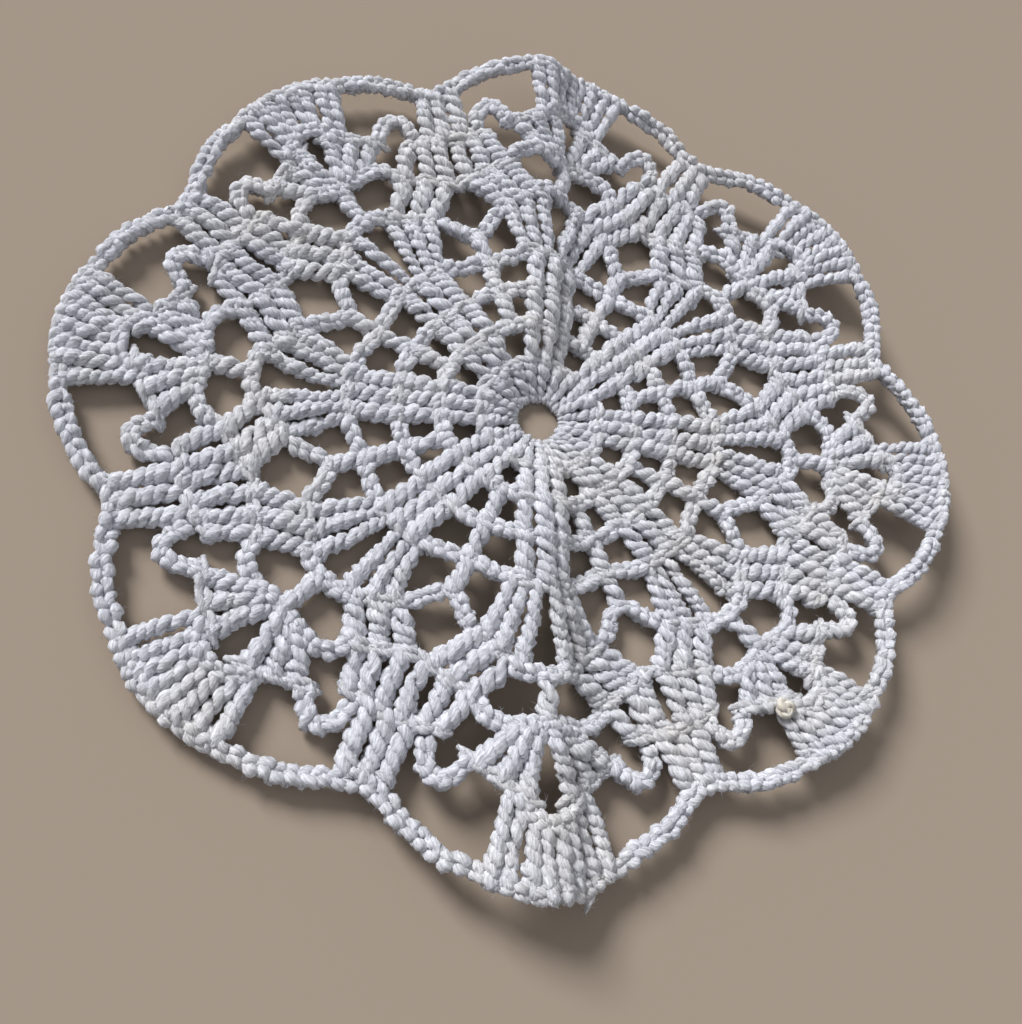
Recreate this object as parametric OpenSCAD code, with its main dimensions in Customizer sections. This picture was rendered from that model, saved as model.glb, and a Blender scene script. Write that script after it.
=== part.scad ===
/* A round doily crocheted in thick cotton: eight repeats of a mesh, a leaf
   shaped rib and a fan, worked outward in rounds from a small ring.
   Millimetres, +Z up, origin on the surface it lies on, under its centre.
   Each round is drawn as its stitches: an upright stitch is a lobed stalk, and
   the chain along the top of a round is a row of slanted links. */

/* [Size] */
// Reach from the centre to a dip between two scallops
valley_radius = 105; // [98:1:114]
// Number of times the pattern repeats round the doily
repeats = 8; // [7:1:9]

/* [Yarn] */
// Width of one upright stitch
post_width = 4.6; // [3.8:0.1:4.8]
// Width of the chain along the top of a round
crown_width = 3.4; // [2.8:0.1:3.6]
// Width of an open chain between two groups
chain_width = 4; // [3.2:0.1:4.2]
// Width of the heavy corded edge
cord_width = 5.2; // [4.4:0.1:5.4]
// Clearance left between one stitch and the next
slit = 0.25; // [0.1:0.05:0.3]
// Length of the link over a lone upright stitch
single_link = 4.6; // [4:0.1:5]
// How far each link of a chain runs into the next, as a share of its length
link_overlap = 0.16; // [0.1:0.02:0.22]
// How far the ends of a chain link lean off its line, as a share of its width
link_slant = 0.2; // [0.1:0.02:0.26]

// Width of the knot where a new length of yarn was tied in
knot_width = 4; // [3:0.1:4.4]
// Length of the cut end left at the edge
tail_length = 3; // [2:0.2:4]
// Width of that cut end at its root
tail_width = 1.6; // [1.2:0.1:2]

/* [Centre] */
// Radius of the hole in the middle of the starting ring
hole_radius = 5.4; // [4.6:0.1:5.8]
// Width of the starting ring that the first stitches are worked into
ring_width = 2.4; // [1.8:0.1:2.6]
// Height of the starting ring
ring_height = 2.6; // [2:0.1:3.2]

/* [Lie] */
// Height of the fold that runs through the centre
fold_height = 6; // [0:0.2:7]
// How far the crest of the fold lies beside the centre
fold_crest = 2; // [-2:0.5:4]
// Width of the long flank of the fold
fold_long = 26; // [20:1:32]
// Width of the steep flank of the fold
fold_steep = 9; // [8:0.5:20]
// Length of the cloth across the fold, as a share of its even length
stretch_across = 1.07; // [0.98:0.01:1.08]
// Length of the cloth along the fold, as a share of its even length
stretch_along = 0.996; // [0.97:0.004:1.04]
// How far the rim draws in across the fold
draw_across = 0.067; // [0:0.003:0.08]
// How far the rim draws in along the fold
draw_along = 0.04; // [0:0.002:0.06]
// How far the rim turns against the middle
twist = 0.066; // [0:0.003:0.08]
// How far the two halves slide along the fold
slide = 0.01; // [0:0.002:0.03]
// How far the top leans sideways
skew = 0.047; // [0:0.001:0.06]
// How far the rows bow away from the fold
bow = 0.042; // [0:0.002:0.05]
// How much wider the cloth spreads on one side of the fold
spread = 0.054; // [0:0.002:0.06]
// How far the rim is pulled outward all round
rim_pull = 1.2; // [0:0.2:2]
// How much further it is pulled outward at the two ends of its long direction
rim_pull_long = 3.6; // [0:0.2:4]
// The long direction of the rim
long_direction = 40; // [0:1:90]
// How far one fan hangs out past the others
fan_pull = 5; // [0:0.2:6]
// How far the centre lies off the middle of the outline, along the fold
centre_off = 2.6; // [-1:0.2:4]
// How far the loosest side of the edge stands off the table
edge_lift = 8.5; // [0:0.5:11]
// How far the flattest side of the edge stands off the table
edge_lift_low = 0.8; // [0:0.2:2.4]
// Direction of the loosest side
lift_direction = 24; // [-180:1:180]
// Share of the radius that lies flat on the table
flat_share = 0.46; // [0.4:0.02:0.6]

/* [Hidden] */
$fn = 32;
R = valley_radius;
step = 360 / repeats;
half = step / 2;
last = repeats - 1;
lie = post_width / 2 + 0.1;
// What a row of links of width w needs on each side of its line
function side(w) = w * (0.5 + 0.36 * link_slant) + slit;

// ---- how the cloth lies ----
function clamp01(t) = max(0, min(1, t));
function mix(a, b, t) = a + (b - a) * t;
// How far the rim is pulled outward in the direction a, as a share of the radius
function pull(a) =
    let (off = (a - 6 * step + 540) % 360 - 180)
    (rim_pull + rim_pull_long * cos(2 * (a - long_direction))
     + fan_pull * exp(-off * off / 200)) / R;
// Where the point [x, y] of the even pattern, as shares of the radius, comes to
// lie once the cloth is put down by hand
function lay(x, y) =
    let (r2 = x * x + y * y,
         out = 1 + pull(atan2(y, x)) * clamp01((sqrt(r2) - 0.77) / 0.33))
    [x * (stretch_across * out - draw_across * r2) + y * (skew + bow * y),
     y * (stretch_along * out - draw_along * r2 - spread * x) - x * (slide + twist * r2)];
function rise(p) =
    let (t = clamp01((norm(p) - flat_share) / (1.1 - flat_share)),
         side_lift = (1 + cos(atan2(p[1], p[0]) - lift_direction)) / 2)
    mix(edge_lift_low, edge_lift, side_lift) * t * t;
function fold(p) =
    let (x = p[0] * R - fold_crest, w = x < 0 ? fold_long : fold_steep)
    fold_height * clamp01((norm(p) - 0.07) / 0.2) * exp(-x * x / (w * w));
// A point of the cloth: s is the reach as a share of R, u the angle as a share
// of half a repeat counted from the middle of a fan, and k the repeat
function at(s, u, k) =
    let (a = k * step + u * half, p = lay(s * cos(a), s * sin(a)))
    [R * p[0], R * p[1] + centre_off, lie + rise(p) + fold(p)];
// The share of half a repeat that a length w takes up at the reach s
function share(s, w) = w / (R * s * half * PI / 180);
// The points of one line of stitches, given as [s, u] pairs, in repeat k;
// side is 1, or -1 for its mirror image
function line(pairs, k, side = 1) = [for (p = pairs) at(p[0], p[1] * side, k)];

// ---- the stitches ----
// Draws its children with their +Z along the line from a to b
module along(a, b) {
    d = b - a;
    translate(a)
        rotate([0, acos(d[2] / norm(d)), atan2(d[1], d[0])])
            children();
}

// An upright stitch from a to b: a stalk with one lobe for each wrap of yarn
module stalk(a, b, wa, wb, lobes) {
    h = norm(b - a);
    along(a, b)
        rotate_extrude()
            polygon(concat(
                [[0, 0]],
                [for (i = [0:lobes - 1], j = [0.06, 0.5])
                    let (t = (i + j) / lobes)
                    [mix(wa, wb, t) / 2 * (j < 0.3 ? 0.84 : 1), i + j < 0.1 ? 0 : h * t]],
                [[wb * 0.42, h], [0, h]]));
}

// One link of chain: a spindle from a to b
module link(a, b, w) {
    h = norm(b - a);
    along(a, b)
        rotate_extrude()
            polygon([[0, 0], [w * 0.3, 0], [w * 0.5, h * 0.32], [w * 0.5, h * 0.68],
                     [w * 0.3, h], [0, h]]);
}

// A run of slanted links through the points: each link overlaps the next, and
// the first and last stop short of whatever they meet
module chain(points, w) {
    n = len(points) - 1;
    for (i = [0:n - 1]) {
        d = points[i + 1] - points[i];
        one = d / norm(d);
        off = [-one[1], one[0], 0] * w * link_slant;
        a = points[i] + (i > 0 ? -d * link_overlap : one * slit / 2);
        b = points[i + 1] + (i < n - 1 ? d * link_overlap : -one * slit / 2);
        link(a - off, b + off, w);
    }
}

// The crown of a row of posts: one slanted link over each top
module crown(tops) {
    n = len(tops);
    ends = concat(
        [tops[0] - (tops[1] - tops[0]) * crown_reach],
        [for (i = [0:n - 2]) (tops[i] + tops[i + 1]) / 2],
        [tops[n - 1] + (tops[n - 1] - tops[n - 2]) * crown_reach]);
    chain(ends, crown_width);
}

function nearest(p, i) =
    min([for (j = [i - 1, i + 1]) if (j >= 0 && j < len(p)) norm(p[i] - p[j])]);
// Sine of the angle by which a post d leans along its row at stitch i
function lean(p, i, d) =
    let (t = p[min(i + 1, len(p) - 1)] - p[max(i - 1, 0)])
    abs(t * d) / norm(t) / norm(d);
// Room a leaning post end of width w leaves to a row that needs `room` per side
function stop(room, w, s) = (room + w * 0.33 * s) / sqrt(1 - s * s);

// Posts between two rows: feet lie on the line of the row below and tops on the
// line of the row above, and each post stops short of both rows
module posts(feet, tops, below, above, lobes = 3) {
    for (i = [0:len(feet) - 1]) {
        h = norm(tops[i] - feet[i]);
        d = (tops[i] - feet[i]) / h;
        s0 = lean(feet, i, d);
        s1 = lean(tops, i, d);
        pitch0 = nearest(feet, i) * sqrt(1 - s0 * s0);
        pitch1 = nearest(tops, i) * sqrt(1 - s1 * s1);
        from = stop(side(below), min(post_width, pitch0), s0);
        to = h - stop(side(above), min(post_width, pitch1), s1);
        stalk(feet[i] + d * from, feet[i] + d * to,
              min(post_width, mix(pitch0, pitch1, from / h) - slit),
              min(post_width, mix(pitch0, pitch1, to / h) - slit), lobes);
    }
}

// One post with its own link across the top
module single_post(foot, top, across, below) {
    d = (top - foot) / norm(top - foot);
    stalk(foot + d * side(below), top - d * (crown_width / 2 + slit),
          post_width, post_width, 3);
    link(top - across, top + across, crown_width);
}
// Where a chain may start beside a crown of three posts of the given pitch
function crown_end(s, pitch) = pitch * (1 + crown_reach) + share(s, 1.8 * slit);
function across(s, u, k) =
    let (d = at(s, u + 0.01, k) - at(s, u - 0.01, k)) d / norm(d) * single_link / 2;

// ---- the pattern, as [reach, angle] pairs for half a repeat ----
three = [-1, 0, 1];
// How far a crown reaches past its outer posts, as a share of their pitch
crown_reach = 0.46;
beside_link = single_link / 2 + 2.1 * slit;
r1 = 0.148;
r2 = r1 + 0.092;
r3 = r2 + 0.096;
r4 = r3 + 0.116;
r4_valley = r4 - 0.024;
r5_valley = r4_valley + 0.088;
// Pitch of the three posts of a group at their tops
pitch2 = 0.45;
pitch3 = 0.36;
pitch4 = 0.27;
r5_crown = [[0.6, 0.585], [0.62, 0.405]];
fork = [[0.65, 0.29], [0.663, 0.1], [0.663, -0.1], [0.65, -0.29]];
r6_crown = [[0.73, 0.55], [0.712, 0.73], [0.691, 0.902]];
r6_fan = 0.776;
r7_tops = [[0.824, 0.69], [0.83, 0.805], [0.833, 0.925]];
r7_shell = [[0.914, 0.12], [0.8975, 0.262], [0.874, 0.4]];
shell_mid = 0.971;
shell_chain = [[shell_mid - 0.022, 0.2], [shell_mid, 0.075], [shell_mid, -0.075],
               [shell_mid - 0.022, -0.2]];
cord_mid = 1.096;
cord_line = [[1.096, 0], [1.093, 0.13], [1.083, 0.26], [1.07, 0.385]];
arch_line = [[1.069, 0.405], [1.062, 0.495], [1.05, 0.605], [1.033, 0.71], [1.012, 0.81],
             [0.99, 0.9], [0.98, 0.985]];

module starting_ring() {
    color("ivory")
        translate([0, centre_off, 0])
            rotate_extrude()
                polygon([[hole_radius, 0], [hole_radius + ring_width, 0],
                         [hole_radius + ring_width, ring_height * 0.6],
                         [hole_radius + ring_width * 0.7, ring_height],
                         [hole_radius + ring_width * 0.3, ring_height],
                         [hole_radius, ring_height * 0.6]]);
}

module round_1_posts() {
    ring = (hole_radius + ring_width) / R;
    color("white")
        for (k = [0:last])
            posts([for (i = three) at(ring, i * 2 / 3, k)],
                  [for (i = three) at(r1, i * 2 / 3, k)], 0, crown_width);
}
module round_1_crown() {
    color("ivory")
        for (k = [0:last]) crown([for (i = three) at(r1, i * 2 / 3, k)]);
}

module round_2_groups() {
    color("white")
        for (k = [0:last])
            posts([for (i = three) at(r1, i * 0.53, k)],
                  [for (i = three) at(r2, i * pitch2, k)], crown_width, crown_width);
}
module round_2_crowns() {
    color("ivory")
        for (k = [0:last]) crown([for (i = three) at(r2, i * pitch2, k)]);
}
module round_2_chain_spaces() {
    color("white")
        for (k = [0:last]) chain([for (u = [-1, 0, 1]) at(r2, 1 + u * (1 - crown_end(r2, pitch2)), k)], chain_width);
}

module round_3_groups() {
    color("white")
        for (k = [0:last])
            posts([for (i = three) at(r2, i * 0.41, k)],
                  [for (i = three) at(r3, i * pitch3, k)], crown_width, crown_width);
}
module round_3_crowns() {
    color("ivory")
        for (k = [0:last]) crown([for (i = three) at(r3, i * pitch3, k)]);
}
module round_3_single_posts() {
    color("white")
        for (k = [0:last])
            single_post(at(r2, 1, k), at(r3, 1, k), across(r3, 1, k), chain_width);
}
module round_3_chain_spaces() {
    color("white")
        for (k = [0:last], side = [-1, 1])
            chain(line([[r3, crown_end(r3, pitch3)], [r3, 1 - share(r3, beside_link)]], k, side),
                  chain_width);
}

module round_4_groups() {
    color("white")
        for (k = [0:last])
            posts([for (i = three) at(r3, i * 0.32, k)],
                  [for (i = three) at(r4 - abs(i) * 0.003, i * pitch4, k)],
                  crown_width, crown_width);
}
module round_4_crowns() {
    color("ivory")
        for (k = [0:last])
            crown([for (i = three) at(r4 - abs(i) * 0.003, i * pitch4, k)]);
}
module round_4_single_posts() {
    color("white")
        for (k = [0:last])
            single_post(at(r3, 1, k), at(r4_valley, 1, k),
                        across(r4_valley, 1, k), crown_width);
}
module round_4_chain_spaces() {
    color("white")
        for (k = [0:last], side = [-1, 1])
            chain(line([[r4 - 0.005, crown_end(r4, pitch4)], [r4 - 0.013, 0.64],
                        [r4_valley, 1 - share(r4_valley, beside_link)]], k, side),
                  chain_width);
}

module round_5_split_groups() {
    color("white")
        for (k = [0:last], side = [-1, 1])
            posts(line([[r4 - 0.004, 0.38], [r4 - 0.002, 0.235], [r4, 0.085]], k, side),
                  line([r5_crown[0], r5_crown[1], [0.652, 0.21]], k, side),
                  crown_width, crown_width);
}
module round_5_crowns() {
    color("ivory")
        for (k = [0:last], side = [-1, 1]) crown(line(r5_crown, k, side));
}
module round_5_single_posts() {
    color("white")
        for (k = [0:last])
            single_post(at(r4_valley, 1, k), at(r5_valley, 1, k),
                        across(r5_valley, 1, k), crown_width);
}
module round_5_fork_chains() {
    color("white")
        for (k = [0:last]) chain(line(fork, k), chain_width);
}
module round_5_sloping_chains() {
    color("white")
        for (k = [0:last], side = [-1, 1])
            chain(line([[0.581, 0.69], [0.552, 0.79],
                        [r5_valley + 0.006, 0.988 - share(r5_valley, beside_link)]], k, side), chain_width);
}

module round_6_leaf_sides() {
    color("white")
        for (k = [0:last], side = [-1, 1])
            posts(line([[0.644, 0.28], [0.616, 0.435], [0.5935, 0.61]], k, side),
                  line(r6_crown, k, side), crown_width, crown_width);
}
module round_6_crowns() {
    color("ivory")
        for (k = [0:last], side = [-1, 1]) crown(line(r6_crown, k, side));
}
module round_6_single_posts() {
    color("white")
        for (k = [0:last])
            single_post(at(0.663, 0, k), at(r6_fan, 0, k),
                        across(r6_fan, 0, k), chain_width);
}
module round_6_chain_arms() {
    color("white")
        for (k = [0:last], side = [-1, 1])
            chain(line([[r6_fan + 0.002, share(r6_fan, beside_link)], [0.786, 0.2], [0.787, 0.325],
                        [0.777, 0.44], [0.757, 0.492]], k, side), chain_width);
}

module round_7_leaf_ribs() {
    color("white")
        for (k = [0:last], side = [-1, 1])
            posts(line(r6_crown, k, side), line(r7_tops, k, side),
                  crown_width, crown_width);
}
module round_7_crowns() {
    color("ivory")
        for (k = [0:last], side = [-1, 1]) crown(line(r7_tops, k, side));
}
module round_7_shells() {
    color("white")
        for (k = [0:last], side = [-1, 1])
            posts(line([[r6_fan, 0.035], [r6_fan + 0.002, 0.1], [r6_fan + 0.006, 0.168]], k, side),
                  line(r7_shell, k, side), chain_width, crown_width);
}
module round_7_shell_crowns() {
    color("ivory")
        for (k = [0:last], side = [-1, 1]) crown(line(r7_shell, k, side));
}
module round_7_shell_chains() {
    color("white")
        for (k = [0:last]) chain(line(shell_chain, k), chain_width);
}
module round_7_chain_arcs() {
    color("white")
        for (k = [0:last], side = [-1, 1])
            chain(line([[0.868, 0.5], [0.905, 0.553], [0.925, 0.635], [0.904, 0.722],
                        [0.854, 0.752]], k, side), chain_width);
}

module round_8_leaf_tips() {
    color("white")
        for (k = [0:last])
            posts([for (i = three) at(0.831, 1 + i * 0.14, k)],
                  [for (i = three) at(0.982, 1 + i * 0.1, k)], crown_width, cord_width, 4);
}
module round_8_fans() {
    color("white")
        for (k = [0:last])
            posts([for (i = [-3.5:3.5]) at(shell_mid + 0.003 - 0.0028 * i * i, i * 0.07, k)],
                  [for (i = [-3.5:3.5]) at(cord_mid - 0.0014 * (i * i - 0.25), i * 0.088, k)],
                  chain_width, cord_width, 4);
}
module edge_fan_cords() {
    color("ivory")
        for (k = [0:last], side = [-1, 1]) chain(line(cord_line, k, side), cord_width);
}
module edge_arches() {
    color("white")
        for (k = [0:last], side = [-1, 1]) chain(line(arch_line, k, side), cord_width);
}
// The knot where a new length of yarn was tied in, on the corner of one shell
module fastening_knot() {
    color("cornsilk")
        translate(at(r7_shell[0][0] + 0.011, -0.24, last)
                  + [0, 0, chain_width / 2 + knot_width * 0.24])
            rotate_extrude()
                polygon([[0, -knot_width * 0.4], [knot_width * 0.3, -knot_width * 0.36],
                         [knot_width * 0.5, -knot_width * 0.12],
                         [knot_width * 0.5, knot_width * 0.12],
                         [knot_width * 0.3, knot_width * 0.36], [0, knot_width * 0.4]]);
}
// The cut end of yarn that stands out of the cord of one scallop
module yarn_tail() {
    a = at(1.12, 0.2, last - 1);
    b = at(1.12, 0.2 + tail_length * 0.8 / (R * 0.44), last - 1) + [0, 0, tail_length * 0.2];
    out = (a - [0, 0, a[2]]) / norm(a);
    color("ivory") stalk(a, b + out * tail_length * 0.7, tail_width, tail_width * 0.5, 2);
}

starting_ring();
round_1_posts();
round_1_crown();
round_2_groups();
round_2_crowns();
round_2_chain_spaces();
round_3_groups();
round_3_crowns();
round_3_single_posts();
round_3_chain_spaces();
round_4_groups();
round_4_crowns();
round_4_single_posts();
round_4_chain_spaces();
round_5_split_groups();
round_5_crowns();
round_5_single_posts();
round_5_fork_chains();
round_5_sloping_chains();
round_6_leaf_sides();
round_6_crowns();
round_6_single_posts();
round_6_chain_arms();
round_7_leaf_ribs();
round_7_crowns();
round_7_shells();
round_7_shell_crowns();
round_7_shell_chains();
round_7_chain_arcs();
round_8_leaf_tips();
round_8_fans();
edge_fan_cords();
edge_arches();
fastening_knot();
yarn_tail();
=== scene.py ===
"""Looks of a round crocheted cotton doily, built over its fixed CAD frame.

Every stitch is worked from strands of plied cotton yarn: a strand is a lobed
profile carried along a centre line, and the centre lines follow the lie of the
cloth, as the solids do. Lengths are metres, angles are radians.
"""

import logging
import math
from dataclasses import dataclass, field
from enum import Enum

import bpy
import numpy as np
from mathutils import Matrix, Vector


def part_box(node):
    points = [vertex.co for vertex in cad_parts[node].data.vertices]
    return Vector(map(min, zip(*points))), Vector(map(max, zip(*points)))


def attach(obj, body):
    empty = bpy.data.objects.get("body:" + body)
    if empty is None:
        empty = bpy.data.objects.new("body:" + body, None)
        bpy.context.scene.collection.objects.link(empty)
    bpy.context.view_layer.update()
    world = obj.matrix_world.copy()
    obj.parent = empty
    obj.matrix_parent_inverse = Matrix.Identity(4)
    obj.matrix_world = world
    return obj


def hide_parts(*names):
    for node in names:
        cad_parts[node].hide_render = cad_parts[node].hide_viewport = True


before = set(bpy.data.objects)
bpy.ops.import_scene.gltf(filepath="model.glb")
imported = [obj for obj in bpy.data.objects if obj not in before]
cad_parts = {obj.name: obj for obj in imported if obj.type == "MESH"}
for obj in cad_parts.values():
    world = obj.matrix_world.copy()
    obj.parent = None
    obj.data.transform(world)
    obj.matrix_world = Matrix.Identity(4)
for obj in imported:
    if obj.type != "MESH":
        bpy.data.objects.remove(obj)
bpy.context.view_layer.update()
LOG = logging.getLogger("doily")
MM = 0.001
Array = np.ndarray


class Shade(Enum):
    """The yarn colour that a piece is worked in, by its material slot."""

    WHITE = "white_yarn"
    IVORY = "ivory_yarn"
    CREAM = "cream_yarn"


# --- helpers
def unit(v: Array) -> Array:
    """Returns vectors scaled to length one, along the last axis."""
    return v / np.maximum(np.linalg.norm(v, axis=-1, keepdims=True), 1e-12)


def smooth(t: Array) -> Array:
    """Returns 0 below 0, 1 above 1, and the smooth cubic between."""
    t = np.clip(t, 0.0, 1.0)
    return t * t * (3.0 - 2.0 * t)


def mix(a: Array, b: Array, t: Array) -> Array:
    """Returns the straight blend from a to b."""
    return a + (b - a) * t


def carry(start: Array, axis: Array, t: Array, *offsets: tuple) -> Array:
    """Returns lines of points start + t axis, plus each way times its amount.

    Args:
        start, axis: where each line starts, and its length and direction.
        t: the shares of the axis, of shape (lines or 1, points).
        offsets: pairs of a way, one for each line, and amounts shaped like t.

    Returns:
        Points of shape (lines, points, 3).
    """
    line = start[:, None] + axis[:, None] * t[..., None]
    for way, amount in offsets:
        line = line + way[:, None] * amount[..., None]
    return line


def corners(*columns: Array) -> Array:
    """Returns a row for each face, with one column for each of its corners."""
    return np.stack(np.broadcast_arrays(*columns), axis=-1).reshape(-1, len(columns))


def corner_uvs(u: tuple, v: tuple) -> Array:
    """Returns a [u, v] row for each corner, from the corners' columns."""
    return np.stack([corners(*u), corners(*v)], axis=-1).reshape(-1, 2)


@dataclass(frozen=True)
class Cloth:
    """The lie of the doily: where a point of its pattern stands in space.

    A point is named by its reach s, as a share of the radius to a dip of the
    edge, its angle u, as a share of half a repeat from the middle of a fan, and
    its repeat k. The even pattern is stretched, drawn in and turned a little by
    the hand that laid it down. Height is a fold along Y with one long and one
    steep flank, plus a rim that lifts with the square of the reach, most on one
    side. The fold stands within 3 mm of the solids' own, which is a little
    lower, less steep and further to +X.
    """

    radius: float = 105.0 * MM
    repeats: int = 8
    lie: float = 2.4 * MM
    centre_off: float = 2.6 * MM
    stretch: tuple = (1.07, 0.996)
    draw: tuple = (0.067, 0.04)
    twist: float = 0.066
    slide: float = 0.01
    skew: float = 0.047
    bow: float = 0.042
    spread: float = 0.054
    rim_pull: float = 1.2 * MM
    rim_pull_long: float = 3.6 * MM
    long_direction: float = math.radians(40.0)
    fan_pull: float = 5.0 * MM
    fold_height: float = 7.2 * MM
    fold_crest: float = -0.5 * MM
    fold_long: float = 26.0 * MM
    fold_steep: float = 6.5 * MM
    edge_lift: float = 8.5 * MM
    edge_lift_low: float = 0.8 * MM
    lift_direction: float = math.radians(24.0)
    flat_share: float = 0.46
    pulled_fan: float = math.radians(10.0)
    pull_from: float = 0.77
    pull_over: float = 0.33
    outermost: float = 1.1
    fold_from: float = 0.07
    fold_over: float = 0.2

    def pull(self, a: Array) -> Array:
        """Returns how far the rim is pulled out in direction a, as a share of
        the radius: p + q cos 2(a - b), and more over the one fan at -Y."""
        off = (a + 1.5 * math.pi) % (2.0 * math.pi) - math.pi
        return (self.rim_pull + self.rim_pull_long * np.cos(2.0 * (a - self.long_direction))
                + self.fan_pull * np.exp(-0.5 * (off / self.pulled_fan) ** 2)) / self.radius

    def lay(self, x: Array, y: Array) -> tuple:
        """Lays points of the even pattern down as the hand did.

        They go to x (a o - b r2) + y (c + d y), y (e o - f r2 - g x) - x (h + i
        r2), with r2 the square of the reach and o the pull, which grows from
        none at pull_from over the reach pull_over.

        Args:
            x, y: the even points, in shares of the radius.

        Returns:
            Their new x and y, in the same shares.
        """
        r2 = x * x + y * y
        o = 1.0 + (self.pull(np.arctan2(y, x))
                   * np.clip((np.sqrt(r2) - self.pull_from) / self.pull_over, 0.0, 1.0))
        return (x * (self.stretch[0] * o - self.draw[0] * r2) + y * (self.skew + self.bow * y),
                y * (self.stretch[1] * o - self.draw[1] * r2 - self.spread * x)
                - x * (self.slide + self.twist * r2))

    def height(self, x: Array, y: Array) -> Array:
        """Works out how high the middle of the cloth stands.

        The rim rises by lift t t, with t from 0 at flat_share to 1 at the edge.
        The fold is height exp(-(x / width) ^ 2), and fades at the centre.

        Args:
            x, y: the places over the floor.

        Returns:
            The heights there.
        """
        y = y - self.centre_off
        s = np.hypot(x, y) / self.radius
        a = np.arctan2(y, x)
        t = np.clip((s - self.flat_share) / (self.outermost - self.flat_share), 0.0, 1.0)
        rim = mix(self.edge_lift_low, self.edge_lift,
                  (1.0 + np.cos(a - self.lift_direction)) / 2.0) * t * t
        over = x - self.fold_crest
        width = np.where(over < 0.0, self.fold_long, self.fold_steep)
        ridge = (self.fold_height * np.clip((s - self.fold_from) / self.fold_over, 0.0, 1.0)
                 * np.exp(-(over / width) ** 2))
        return self.lie + rim + ridge

    def at(self, s: Array, u: Array, k: Array) -> Array:
        """Finds points of the pattern in space.

        Args:
            s, u, k: their reach, angle and repeat, of shapes that fit together.

        Returns:
            The points, with x, y and z along a last axis.
        """
        half = math.pi / self.repeats
        a = 2.0 * half * k + u * half
        x, y = self.lay(s * np.cos(a), s * np.sin(a))
        x, y = self.radius * x, self.radius * y + self.centre_off
        return np.stack([x, y, self.height(x, y)], axis=-1)

    def normal(self, p: Array) -> Array:
        """Finds the upward normals of the cloth, from small steps of height.

        Args:
            p: points of shape (..., 3).

        Returns:
            The unit normals of the cloth under them.
        """
        h = 0.5 * MM
        x, y = p[..., 0], p[..., 1]
        dx = (self.height(x + h, y) - self.height(x - h, y)) / (2.0 * h)
        dy = (self.height(x, y + h) - self.height(x, y - h)) / (2.0 * h)
        return unit(np.stack([-dx, -dy, np.ones_like(dx)], axis=-1))

    def rows(self, pairs: list, sides: tuple = (1,), turn: float = 0.0) -> Array:
        """Repeats one line of [reach, angle] pairs round the doily.

        Args:
            pairs: the pairs of the line.
            sides: 1, or (1, -1) to add its mirror image in each repeat.
            turn: an angle added after mirroring, in the same share.

        Returns:
            Points of shape (repeats * sides, pairs, 3).
        """
        p = np.asarray(pairs, float)
        k = np.arange(self.repeats, dtype=float)[:, None, None]
        side = np.asarray(sides, float)[None, :, None]
        pts = self.at(p[None, None, :, 0] + 0 * k * side, p[None, None, :, 1] * side + turn, k)
        return pts.reshape(-1, len(p), 3)


@dataclass
class Strands:
    """Centre lines of equal point count with their radii.

    lines has the shape (strands, points, 3), and radii (strands, points).
    """

    lines: Array
    radii: Array


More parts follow.
